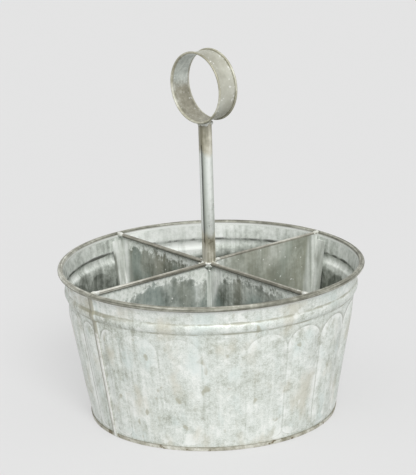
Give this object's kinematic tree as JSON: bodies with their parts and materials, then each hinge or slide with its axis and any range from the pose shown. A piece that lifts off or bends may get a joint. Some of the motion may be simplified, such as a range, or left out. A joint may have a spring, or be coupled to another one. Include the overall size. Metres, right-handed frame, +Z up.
{
  "type": "cutlery caddy",
  "caption": "Round tapered galvanised caddy with fluted arch-topped sides, a rolled rim, crossed dividers making open compartments, and a central post with a ring handle.",
  "frame": {"origin": "middle of the base, on the surface that the caddy stands on", "axes": "+Z up along the post, +X along the long divider, +Y along the cross dividers and, within 3.4 degrees, the ring's axis"},
  "size_m": [0.25, 0.25, 0.304],
  "materials": {
    "galvanised_wall": "weathered galvanised sheet, mottled pale grey zinc",
    "galvanised_base": "weathered galvanised sheet, dull grey with brown at the folded lip",
    "galvanised_divider": "weathered galvanised sheet, dull streaky grey",
    "post_tube": "satin zinc tube, stained brown at its soldered ends",
    "ring_band": "dull brownish zinc band",
    "solder": "dull tin solder",
    "rim_wire": "plain steel wire"
  },
  "bodies": {
    "root": {"bucket_wall": "galvanised_wall", "rim_wire": "rim_wire", "base_plate": "galvanised_base", "long_divider": "galvanised_divider", "front_half_divider": "galvanised_divider", "back_half_divider": "galvanised_divider", "handle_post": "post_tube", "handle_ring": "ring_band", "post_foot_solder": "solder", "ring_solder": "solder", "rim_tack_solder": "solder", "corner_solder": "solder"}
  },
  "joints": []
}
